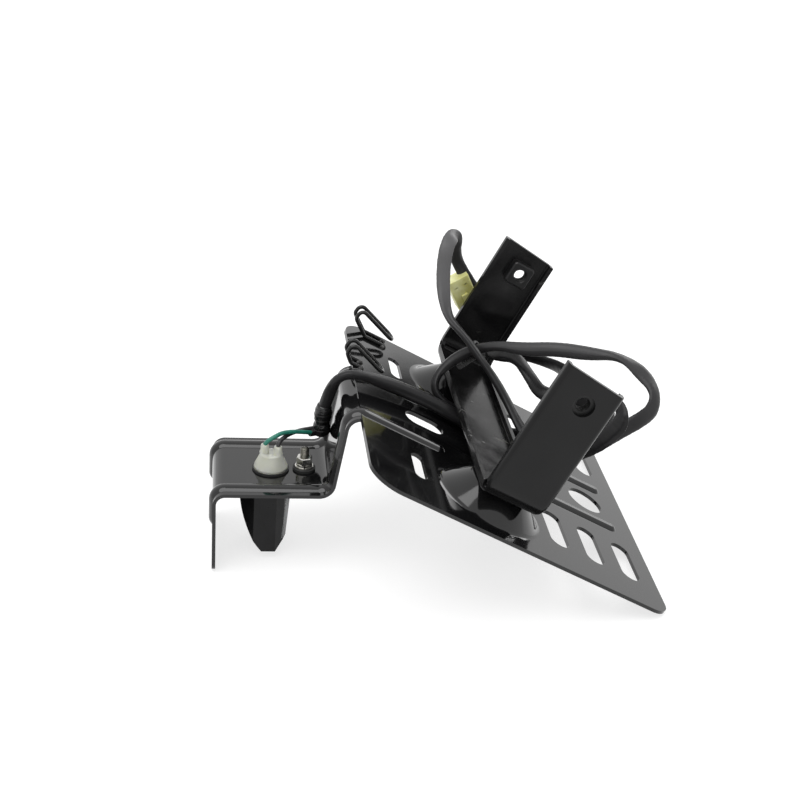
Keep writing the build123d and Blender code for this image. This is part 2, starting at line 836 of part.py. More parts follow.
sleeve_from_tie = vectors(
    (24.0, 47.5, 88.8),
    (15.4, 43.5, 82.0),
    (12.0, 37.0, 74.6),
    (18.0, 31.6, 68.2),
    (31.0, 28.0, 61.3),
    (46.0, 26.0, 52.8),
    (57.5, 24.0, 50.0),
    (68.0, 20.0, 51.4),
    (80.0, 15.4, 54.6),
    (91.0, 12.4, 59.6),
    (98.4, 11.0, 66.4),
    (97.0, 11.4, 74.6),
    (87.0, 14.6, 79.6),
    (75.0, 20.0, 82.6),
    (65.0, 30.0, 85.4),
    (59.4, 45.0, 86.2),
    (60.6, 57.5, 85.2),
    (65.6, 66.4, 83.6),
    (73.6, 69.4, 82.0),
    (81.2, 64.6, 81.6),
    (84.8, 54.0, 83.6),
    (85.4, 40.0, 87.8),
    (86.6, 21.0, 93.2),
    (90.0, -2.0, 98.0),
    (95.5, -26.0, 103.6),
    (100.5, -41.0, 107.0),
    (101.6, -50.5, 105.0),
    (101.0, -55.8, 96.0),
    (96.0, -56.0, 86.6),
    (87.0, -51.5, 77.6),
    (75.0, -42.0, 67.8),
    (64.0, -26.0, 62.0),
    (57.8, -6.0, 65.6),
    (52.0, 9.0, 75.6),
    (45.0, 20.0, 87.0),
    (37.4, 30.5, 97.8),
    (30.5, 42.5, 105.4),
    (24.2, 55.0, 112.6),
    (20.8, 66.0, 125.0),
    (20.6, 75.0, 137.0),
    (22.2, 81.0, 146.4),
    (25.6, 86.4, 151.2),
    (30.0, 92.0, 150.0),
    (33.2, 96.6, 142.6),
    (36.0, 100.0, 133.0),
    (37.4, 101.6, 122.6),
)
sleeve_route = sleeve_to_tie + sleeve_from_tie
cord_tube(sleeve_route, sleeve_diameter, "harness_sleeve")

# Taped collar at the sleeve's start, with a flat where the lamp's wires go in
sleeve_start = sleeve_route[0]
collar_axis = (sleeve_route[1] - sleeve_route[0]).normalized()
entry_dir = (wire_entry_dir - collar_axis * wire_entry_dir.dot(collar_axis)).normalized()
collar_plane = Plane(origin=sleeve_start, x_dir=entry_dir, z_dir=-collar_axis)
with BuildPart() as collar:
    with BuildSketch(collar_plane):
        Circle(collar_radius)
    extrude(amount=collar_length)
    chamfer(collar.faces().sort_by(Axis((0, 0, 0), collar_axis))[0].edges(), length=collar_edge)
    with BuildSketch(collar_plane):
        with Locations((-collar_facet - collar_radius, 0)):
            Rectangle(2 * collar_radius, 2 * collar_radius)
    extrude(amount=collar_length, mode=Mode.SUBTRACT)

write(collar.part, "sleeve_collar")

# Lamp wires from the holder's spigots to the collar's flat
spigot_top = holder_gasket_thickness + holder_height + spigot_height
green_start = on_shelf(holder_along - spigot_spread, lamp_across + spigot_skew, spigot_top)
black_start = on_shelf(holder_along + spigot_spread, lamp_across - spigot_skew, spigot_top)
entry = sleeve_start - collar_axis * (collar_length / 2) - entry_dir * collar_facet
green_end = entry - collar_axis * (wire_pitch / 2)
black_end = entry + collar_axis * (wire_pitch / 2)
green_route = [green_start, green_start + shelf_normal * wire_lead] + vectors(
    (-86.0, -0.9, 68.2),
    (-80.4, 1.8, 68.6),
    (-74.0, 5.2, 66.6),
) + [green_end - entry_dir * wire_lead, green_end]
black_route = [black_start, black_start + shelf_normal * wire_lead] + vectors(
    (-79.2, -2.2, 68.6),
    (-74.8, 1.8, 69.8),
    (-69.2, 6.4, 67.6),
) + [black_end - entry_dir * wire_lead, black_end]
cord_tube(green_route, wire_diameter, "wire_green")
cord_tube(black_route, wire_diameter, "wire_black")

# Connector at the sleeve's far end, with its terminals
connector_axis = (sleeve_route[-1] - sleeve_route[-2]).normalized()
connector_plane = Plane(origin=sleeve_route[-1], x_dir=connector_flat_dir, z_dir=connector_axis)
mouth_plane = connector_plane.offset(connector_length)
window_plane = Plane(
    origin=connector_plane.from_local_coords((0, 0, window_from_rear)),
    x_dir=connector_plane.x_dir,
    z_dir=connector_plane.y_dir,
)
cavities = [-cavity_pitch / 2, cavity_pitch / 2]
with BuildPart() as connector:
    with BuildSketch(connector_plane):
        RectangleRounded(connector_width, connector_thickness, connector_edge)
    extrude(amount=connector_length)
    with BuildSketch(mouth_plane):
        with Locations([(x, 0) for x in cavities]):
            Rectangle(cavity_width, cavity_height)
    extrude(amount=-cavity_depth, mode=Mode.SUBTRACT)
    with BuildSketch(window_plane):
        with Locations([(x, 0) for x in cavities]):
            Rectangle(window_width, window_height)
    extrude(amount=connector_thickness, both=True, mode=Mode.SUBTRACT)
    with BuildSketch(mouth_plane.offset(-latch_length)):
        with Locations((0, connector_thickness / 2)):
            Rectangle(latch_width, 2 * latch_height)
    extrude(amount=latch_length)

write(connector.part, "connector")

with BuildPart() as terminals:
    with BuildSketch(mouth_plane.offset(-cavity_depth)):
        with Locations([(x, 0) for x in cavities]):
            Rectangle(terminal_width, terminal_thickness)
    extrude(amount=terminal_length)

write(terminals.part, "connector_terminals")

# Cable tie round the sleeve over the bracket's base
tie_run = sleeve_from_tie[0] - sleeve_to_tie[-1]
tie_plane = Plane(
    origin=(sleeve_to_tie[-1] + sleeve_from_tie[0]) * 0.5,
    x_dir=tie_side,
    z_dir=tie_run,
)
band_radius = sleeve_diameter / 2 + tie_clearance
with BuildPart() as tie:
    with BuildSketch(tie_plane):
        Circle(band_radius + tie_thickness)
        with Locations((band_radius + tie_thickness, 0)):
            RectangleRounded(tie_head_thickness, tie_head_width, tie_head_corner)
        with Locations((band_radius + tie_tail_offset, -tie_tail / 2)):
            Rectangle(tie_thickness, tie_tail)
        Circle(band_radius, mode=Mode.SUBTRACT)
    extrude(amount=tie_width / 2, both=True)

write(tie.part, "cable_tie")
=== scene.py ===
import math
import bmesh
import bpy
import numpy as np
from mathutils import Matrix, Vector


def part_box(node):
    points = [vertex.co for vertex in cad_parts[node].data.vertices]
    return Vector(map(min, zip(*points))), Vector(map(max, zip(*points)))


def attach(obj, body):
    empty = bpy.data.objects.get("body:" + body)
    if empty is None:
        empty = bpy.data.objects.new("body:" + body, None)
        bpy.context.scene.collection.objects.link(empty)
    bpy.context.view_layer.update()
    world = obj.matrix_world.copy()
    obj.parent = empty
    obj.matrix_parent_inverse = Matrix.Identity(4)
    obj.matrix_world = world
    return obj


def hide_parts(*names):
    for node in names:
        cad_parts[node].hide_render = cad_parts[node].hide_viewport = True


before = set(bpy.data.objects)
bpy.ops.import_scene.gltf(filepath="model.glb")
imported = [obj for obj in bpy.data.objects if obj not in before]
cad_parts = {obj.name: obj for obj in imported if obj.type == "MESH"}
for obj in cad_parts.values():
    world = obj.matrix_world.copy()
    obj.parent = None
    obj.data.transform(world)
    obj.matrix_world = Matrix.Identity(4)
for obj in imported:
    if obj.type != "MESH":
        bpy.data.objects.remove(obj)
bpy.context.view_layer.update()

print("frame loaded:", len(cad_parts), "nodes")

scene = bpy.context.scene
scene.view_settings.view_transform = "Standard"
mm = 0.001
fullTurn = 2 * math.pi
sameSpot = 1e-6  # points closer than this, in metres, are one
white = (1, 1, 1, 1)

# places on the folded sheet, as in the solids
sheet = {
    "topEdge": np.array([-37.3225, 0.0, 93.732]) * mm,
    "tilt": math.radians(30.0),
    "shelfCorner": np.array([-119.187, 0.0, 50.219]) * mm,
    "shelfRise": math.radians(3.6),
}


# a point off a tilted face: its corner plus the way along, across and above it, in mm
def offFace(corner, tilt, along, across, above):
    c, s = math.cos(tilt), math.sin(tilt)
    return corner + mm * np.array([along * c + above * s, across, -along * s + above * c])


# a point on the plate, counted from its top edge
def onPlate(along, across, above):
    return offFace(sheet["topEdge"], sheet["tilt"], along, across, above)


# a point on the lamp shelf, counted from its outer fold
def onShelf(along, across, above):
    return offFace(sheet["shelfCorner"], sheet["shelfRise"], along, across, above)


# each row of vectors divided by its own length
def unit(v):
    return v / np.linalg.norm(v, axis=-1, keepdims=True)


# three square directions: the axis, a helper crossed with it, and the axis crossed with that
def squareAxes(axis, helper):
    w = unit(np.asarray(axis, float))
    u = unit(np.cross(np.asarray(helper, float), w))
    return u, np.cross(w, u), w


plateNormal = unit(onPlate(0, 0, 1) - onPlate(0, 0, 0))
shelfNormal = unit(onShelf(0, 0, 1) - onShelf(0, 0, 0))


# an object made from its data and put into the scene
def addObject(name, data):
    added = bpy.data.objects.new(name, data)
    scene.collection.objects.link(added)
    return added


# rows run along the piece and columns go round it: each square of the grid is a face, and the last column
# joins the first; a ring's last row joins its first, and any other piece is closed by a fan from the middle
# of its first and last row
def gridPiece(name, points, ring=False):
    rows, cols = points.shape[:2]
    index = np.arange(rows * cols).reshape(rows, cols)
    base = index if ring else index[:-1]
    under = np.roll(index, -1, axis=0) if ring else index[1:]
    beside, underBeside = np.roll(base, -1, axis=1), np.roll(under, -1, axis=1)
    quads = np.stack([base, beside, underBeside, under], axis=-1).reshape(-1, 4)
    coords = points.reshape(-1, 3)
    fans = np.zeros((0, 3), int)
    if not ring:
        coords = np.vstack([coords, points[0].mean(0), points[-1].mean(0)])
        first, last = rows * cols, rows * cols + 1
        around = np.roll(np.arange(cols), -1)
        fans = np.vstack([
            np.c_[index[0], np.full(cols, first), index[0][around]],
            np.c_[index[-1][around], np.full(cols, last), index[-1]],
        ])
    triangles = np.vstack([quads[:, [0, 1, 2]], quads[:, [0, 2, 3]], fans])
    a, b, c = (coords[triangles[:, k]] for k in range(3))
    if np.einsum("ij,ij->i", a, np.cross(b, c)).sum() < 0:  # a volume below zero: faces point inwards
        quads, fans = quads[:, ::-1], fans[:, ::-1]
    mesh = bpy.data.meshes.new(name)
    mesh.from_pydata(coords.tolist(), [], quads.tolist() + fans.tolist())
    mesh.shade_smooth()
    return addObject(name, mesh)


# gives a piece its finish, lets it ride on the part, and hides the solids it replaces
def settle(piece, look, slotName, *nodes):
    piece.data.materials.append(look)
    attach(piece, "root")
    if nodes:
        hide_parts(*nodes)
    return piece


# a placing matrix: three square directions as columns, then the place
def placing(u, v, w, place):
    return Matrix([[u[i], v[i], w[i], place[i]] for i in range(3)] + [[0, 0, 0, 1]])


# a node's sockets set by name
def setSockets(node, values):
    for socket, value in values.items():
        node.inputs[socket].default_value = value


# camera where the photograph was taken from: back points from the part to the lens
shot = {
    "place": (-0.0986, -0.7563, 0.4577), "azimuth": -6.44, "height": 26.0, "roll": 0.66,
    "lens": 68.0, "sensor": 36.0, "nearest": 0.01,
}
az, el, roll = (math.radians(shot[k]) for k in ("azimuth", "height", "roll"))
back = np.array([math.sin(az) * math.cos(el), -math.cos(az) * math.cos(el), math.sin(el)])
flatRight = np.array([math.cos(az), math.sin(az), 0.0])
flatUp = np.cross(back, flatRight)
right = math.cos(roll) * flatRight + math.sin(roll) * flatUp
up = math.cos(roll) * flatUp - math.sin(roll) * flatRight
camera = addObject("photoCamera", bpy.data.cameras.new("photoCamera"))
camera.data.lens = shot["lens"]
camera.data.sensor_width = shot["sensor"]
camera.data.clip_start = shot["nearest"]
camera.matrix_world = placing(right, up, back, shot["place"])
scene.camera = camera
print("camera set")

# pale floor and soft white room
studio = {
    "floorHalf": 6.0, "floorShade": 0.35, "floorGlow": 0.72, "floorRough": 0.9, "floorShine": 0.1,
    "room": 1.0, "dimWay": (0.4582, 0.8765, 0.1478), "dimmest": 0.03, "dimEdge": (4.3, 2.3),
}
half = studio["floorHalf"]
floorCorners = [(-half, -half, 0), (half, -half, 0), (half, half, 0), (-half, half, 0)]
floorMesh = bpy.data.meshes.new("paleFloor")
floorMesh.from_pydata(floorCorners, [], [(0, 1, 2, 3)])
floor = addObject("paleFloor", floorMesh)
floorLook = bpy.data.materials.new("paleFloorLook")
floorLook.use_nodes = True
setSockets(floorLook.node_tree.nodes["Principled BSDF"], {
    "Base Color": (studio["floorShade"],) * 3 + (1,),
    "Roughness": studio["floorRough"],
    "Specular IOR Level": studio["floorShine"],
    "Emission Color": white,
    "Emission Strength": studio["floorGlow"],
})
floorMesh.materials.append(floorLook)

world = bpy.data.worlds.new("whiteRoom")
scene.world = world
world.use_nodes = True
skyNodes, skyLinks = world.node_tree.nodes, world.node_tree.links
sky = skyNodes["Background"]
setSockets(sky, {"Color": white})
# a dim card behind: strength falls with the cosine between a direction and the card's middle
skyWay = skyNodes.new("ShaderNodeTexCoord")
cosine = skyNodes.new("ShaderNodeVectorMath")
cosine.operation = "DOT_PRODUCT"
cosine.inputs[1].default_value = unit(np.array(studio["dimWay"])).tolist()
card = skyNodes.new("ShaderNodeMapRange")
card.interpolation_type = "SMOOTHSTEP"
edgeOut, edgeIn = (math.cos(math.radians(a)) for a in studio["dimEdge"])
setSockets(card, {
    "From Min": edgeOut, "From Max": edgeIn, "To Min": studio["room"], "To Max": studio["dimmest"],
})
skyLinks.new(skyWay.outputs["Generated"], cosine.inputs[0])
skyLinks.new(cosine.outputs["Value"], card.inputs["Value"])
skyLinks.new(card.outputs["Result"], sky.inputs["Strength"])

lamps = {
    "topSoftbox": {"place": (-0.35, -0.25, 1.3), "aim": (0.0, 0.0, 0.05), "size": 1.1, "watts": 9.0},
    "backSoftbox": {"place": (0.9, 0.9, 0.7), "aim": (0.02, 0.0, 0.07), "size": 0.9, "watts": 5.0},
}
lampHelper = (0.1, 1, 0.2)  # only has to differ from the way a lamp looks
for name, lamp in lamps.items():
    light = bpy.data.lights.new(name, "AREA")
    light.shape = "DISK"
    light.size = lamp["size"]
    light.energy = lamp["watts"]
    lampAxes = squareAxes(np.array(lamp["place"]) - np.array(lamp["aim"]), lampHelper)
    addObject(name, light).matrix_world = placing(*lampAxes, lamp["place"])
print("floor and light set")

# what all finishes share
finishing = {
    "patchDetail": 3.0, "roughDetail": 4.0, "fineDetail": 2.0, "noiseLow": 0.3, "noiseHigh": 0.7,
    "scuffEdge": 0.08, "scuffRough": 0.3, "bumpHeight": 0.0002,
}


# a finish: colour drifts between two shades over slow noise, roughness over quicker noise, and a fine
# noise lifts the surface a little; scuffs are thin stretched noise past a limit, paler and rougher, and a
# piece may carry its own amount of a paler colour as an attribute, a painted sheen where it catches light
def makeFinish(name, look):
    finish = bpy.data.materials.new(name)
    finish.use_nodes = True
    nodes, links = finish.node_tree.nodes, finish.node_tree.links
    shader = nodes["Principled BSDF"]
    setSockets(shader, look.get("set", {}))
    place = nodes.new("ShaderNodeTexCoord")

    # noise in the piece's own space, after a turn and a stretch
    def noise(scale, detail, stretch=(1, 1, 1), turn=(0, 0, 0)):
        mapping = nodes.new("ShaderNodeMapping")
        setSockets(mapping, {"Scale": stretch, "Rotation": turn})
        links.new(place.outputs["Object"], mapping.inputs["Vector"])
        grain = nodes.new("ShaderNodeTexNoise")
        setSockets(grain, {"Scale": scale, "Detail": detail})
        links.new(mapping.outputs["Vector"], grain.inputs["Vector"])
        return grain.outputs["Fac"]

    # values between two limits carried over to another range
    def spread(source, low, high, fromLow=finishing["noiseLow"], fromHigh=finishing["noiseHigh"]):
        ranger = nodes.new("ShaderNodeMapRange")
        setSockets(ranger, {"From Min": fromLow, "From Max": fromHigh, "To Min": low, "To Max": high})
        links.new(source, ranger.inputs["Value"])
        return ranger.outputs["Result"]

    # two colours mixed by an amount, each given as a shade or as another node's colour
    def blendColour(amount, one, two):
        mixer = nodes.new("ShaderNodeMix")
        mixer.data_type = "RGBA"
        links.new(amount, mixer.inputs["Factor"])
        for socket, colour in (("A", one), ("B", two)):
            target = [s for s in mixer.inputs if s.name == socket and s.type == "RGBA"][0]
            if isinstance(colour, tuple):
                target.default_value = colour + (1,)
            else:
                links.new(colour, target)
        return [s for s in mixer.outputs if s.type == "RGBA"][0]

    patches = spread(noise(look["patch"], finishing["patchDetail"]), 0, 1)
    colour = blendColour(patches, look["dark"], look["light"])
    rough = spread(noise(look["roughScale"], finishing["roughDetail"]), *look["rough"])
    if "scuff" in look:
        scuff = look["scuff"]
        streaks = noise(scuff["scale"], finishing["fineDetail"], scuff["stretch"], scuff["turn"])
        marks = spread(streaks, 0, scuff["most"], scuff["limit"], scuff["limit"] + finishing["scuffEdge"])
        colour = blendColour(marks, colour, scuff["colour"])
        adder = nodes.new("ShaderNodeMath")
        adder.operation = "MULTIPLY_ADD"
        links.new(marks, adder.inputs[0])
        adder.inputs[1].default_value = finishing["scuffRough"]
        links.new(rough, adder.inputs[2])
        rough = adder.outputs[0]
    # the paler colour read from the attribute is painted sheen, not wear: it lightens where the surface
    # catches light
    if "paintedSheen" in look:
        paintedSheenShare = nodes.new("ShaderNodeAttribute")
        paintedSheenShare.attribute_name = "paintedSheen"
        colour = blendColour(paintedSheenShare.outputs["Fac"], colour, look["paintedSheen"])
    links.new(colour, shader.inputs["Base Color"])
    links.new(rough, shader.inputs["Roughness"])
    bumpScale, bumpStrength = look["bump"]
    bump = nodes.new("ShaderNodeBump")
    setSockets(bump, {"Strength": bumpStrength, "Distance": finishing["bumpHeight"]})
    links.new(noise(bumpScale, finishing["fineDetail"]), bump.inputs["Height"])
    links.new(bump.outputs["Normal"], shader.inputs["Normal"])
    return finish


# bump is a scale and a strength, and set goes to the shader's own sockets
finishes = {
    "glossBlackSheet": {
        "dark": (0.003, 0.003, 0.0032), "light": (0.006, 0.006, 0.0063), "patch": 18.0,
        "rough": (0.05, 0.10), "roughScale": 60.0, "bump": (420.0, 0.02),
        "set": {"Coat Weight": 0.15, "Coat Roughness": 0.04, "Specular IOR Level": 0.42},
        "scuff": {
            "scale": 160.0, "stretch": (1, 0.12, 1), "turn": (0, 0.5, 0.3),
            "limit": 0.71, "most": 0.35, "colour": (0.09, 0.09, 0.09),
        },
    },
    "satinBlackBracket": {
        "dark": (0.003, 0.003, 0.0031), "light": (0.006, 0.006, 0.0062), "patch": 30.0,
        "rough": (0.16, 0.26), "roughScale": 120.0, "bump": (900.0, 0.08),
        "set": {"Specular IOR Level": 0.24},
        "scuff": {
            "scale": 120.0, "stretch": (0.25, 1, 1), "turn": (0, 0.6, 0.2),
            "limit": 0.70, "most": 0.5, "colour": (0.14, 0.14, 0.13),
        },
    },
    "blackNut": {
        "dark": (0.004, 0.004, 0.0042), "light": (0.012, 0.012, 0.012), "patch": 200.0,
        "rough": (0.25, 0.42), "roughScale": 400.0, "bump": (1200.0, 0.25),
        "set": {"Specular IOR Level": 0.3},
    },
    "hookCoating": {
        "dark": (0.005, 0.005, 0.0052), "light": (0.012, 0.012, 0.012), "patch": 120.0,
        "rough": (0.2, 0.32), "roughScale": 260.0, "bump": (800.0, 0.06),
        "set": {"Specular IOR Level": 0.4},
    },
    "weldBead": {
        "dark": (0.010, 0.010, 0.010), "light": (0.03, 0.029, 0.028), "patch": 500.0,
        "rough": (0.3, 0.5), "roughScale": 700.0, "bump": (1500.0, 0.5),
    },
    "blackRubber": {
        "dark": (0.012, 0.012, 0.012), "light": (0.03, 0.03, 0.03), "patch": 240.0,
        "rough": (0.55, 0.75), "roughScale": 500.0, "bump": (1500.0, 0.35),
        "set": {"Specular IOR Level": 0.35},
    },
    "lampBlackPlastic": {
        "dark": (0.004, 0.004, 0.0042), "light": (0.008, 0.008, 0.0084), "patch": 90.0,
        "rough": (0.26, 0.38), "roughScale": 260.0, "bump": (1400.0, 0.2),
        "set": {"Specular IOR Level": 0.2},
    },
    "hazedLens": {
        "dark": (0.55, 0.57, 0.58), "light": (0.72, 0.74, 0.74), "patch": 60.0,
        "rough": (0.12, 0.26), "roughScale": 220.0, "bump": (700.0, 0.15),
        "set": {"Transmission Weight": 0.9, "IOR": 1.49},
    },
    "bulbGlass": {
        "dark": (0.9, 0.92, 0.92), "light": (0.97, 0.98, 0.98), "patch": 120.0,
        "rough": (0.02, 0.06), "roughScale": 300.0, "bump": (300.0, 0.05),
        "set": {"Transmission Weight": 1.0, "IOR": 1.5},
    },
    "milkyBoot": {
        "dark": (0.66, 0.67, 0.57), "light": (0.82, 0.83, 0.77), "patch": 90.0,
        "rough": (0.26, 0.34), "roughScale": 120.0, "bump": (300.0, 0.03),
        "set": {
            "Subsurface Weight": 0.45, "Subsurface Radius": (0.004, 0.004, 0.003), "Subsurface Scale": 1.0,
            "Transmission Weight": 0.5, "IOR": 1.42,
        },
    },
    "zincSteel": {
        "dark": (0.60, 0.59, 0.56), "light": (0.78, 0.77, 0.73), "patch": 160.0,
        "rough": (0.16, 0.26), "roughScale": 300.0, "bump": (900.0, 0.06), "set": {"Metallic": 1.0},
    },
    "dullZinc": {
        "dark": (0.10, 0.10, 0.085), "light": (0.24, 0.23, 0.20), "patch": 500.0,
        "rough": (0.24, 0.36), "roughScale": 300.0, "bump": (900.0, 0.06), "set": {"Metallic": 1.0},
    },
    "greenWire": {
        "dark": (0.008, 0.115, 0.080), "light": (0.016, 0.175, 0.125), "patch": 220.0,
        "rough": (0.28, 0.4), "roughScale": 500.0, "bump": (1200.0, 0.15),
    },
    "blackWire": {
        "dark": (0.014, 0.014, 0.015), "light": (0.03, 0.03, 0.032), "patch": 220.0,
        "rough": (0.3, 0.45), "roughScale": 500.0, "bump": (1200.0, 0.15),
    },
    "sleevePvc": {
        "dark": (0.007, 0.007, 0.0074), "light": (0.013, 0.0127, 0.0135), "patch": 70.0,
        "rough": (0.28, 0.40), "roughScale": 180.0, "bump": (650.0, 0.12),
        # the paler colour is painted sheen for the sleeve's sky-lit faces
        "set": {"Specular IOR Level": 0.21}, "paintedSheen": (0.088, 0.087, 0.089),
    },
    "glossTape": {
        "dark": (0.003, 0.003, 0.0034), "light": (0.008, 0.008, 0.0085), "patch": 260.0,
        "rough": (0.1, 0.22), "roughScale": 400.0, "bump": (700.0, 0.3),
        "set": {"Specular IOR Level": 0.45},
    },
    "creamNylon": {
        "dark": (0.54, 0.52, 0.17), "light": (0.76, 0.76, 0.42), "patch": 120.0,
        "rough": (0.3, 0.45), "roughScale": 420.0, "bump": (1100.0, 0.15),
        "set": {
            "Subsurface Weight": 0.3, "Subsurface Radius": (0.003, 0.003, 0.0015), "Subsurface Scale": 1.0,
        },
    },
    "terminalBrass": {
        "dark": (0.50, 0.36, 0.14), "light": (0.72, 0.56, 0.28), "patch": 500.0,
        "rough": (0.2, 0.4), "roughScale": 900.0, "bump": (1800.0, 0.15), "set": {"Metallic": 1.0},
    },
    "tieNylon": {
        "dark": (0.008, 0.008, 0.008), "light": (0.016, 0.016, 0.016), "patch": 300.0,
        "rough": (0.24, 0.36), "roughScale": 600.0, "bump": (1300.0, 0.15),
    },
}
looks = {name: makeFinish(name, look) for name, look in finishes.items()}
print("finishes made:", len(looks))

# each solid's finish; some of the solids are replaced by finer pieces further down
dressing = {
    "number_plate_carrier": "glossBlackSheet",
    "mounting_bracket": "satinBlackBracket",
    "weld_nut_near": "blackNut",
    "weld_nut_far": "blackNut",
    "cable_hook_far": "hookCoating",
    "cable_hook_mid": "hookCoating",
    "lamp_pad": "blackRubber",
    "holder_gasket": "blackRubber",
    "rubber_washer": "blackRubber",
    "lamp_housing": "lampBlackPlastic",
    "lamp_lens": "hazedLens",
    "bulb": "bulbGlass",
    "bulb_holder": "milkyBoot",
    "lamp_nut": "zincSteel",
    "spring_washer": "zincSteel",
    "flat_washer": "zincSteel",
    "lamp_stud": "zincSteel",
    "connector": "creamNylon",
    "connector_terminals": "terminalBrass",
    "cable_tie": "tieNylon",
    "sleeve_collar": "glossTape",
    "harness_sleeve": "sleevePvc",
    "wire_green": "greenWire",
    "wire_black": "blackWire",
}
for node, look in dressing.items():
    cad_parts[node].material_slots[0].material = looks[look]
print("solids dressed:", len(dressing))

cordSpline = {"order": 3, "steps": 12}


# a smooth line through the air: a NURBS spline of order three pulled by the route's points
def cordLine(name, route):
    curve = bpy.data.curves.new(name, "CURVE")
    curve.dimensions = "3D"
    spline = curve.splines.new("NURBS")
    spline.points.add(len(route) - 1)
    spline.points.foreach_set("co", np.c_[route, np.ones(len(route))].ravel())
    spline.order_u = cordSpline["order"]
    spline.use_endpoint_u = True
    curve.resolution_u = cordSpline["steps"]
    return addObject(name, curve)


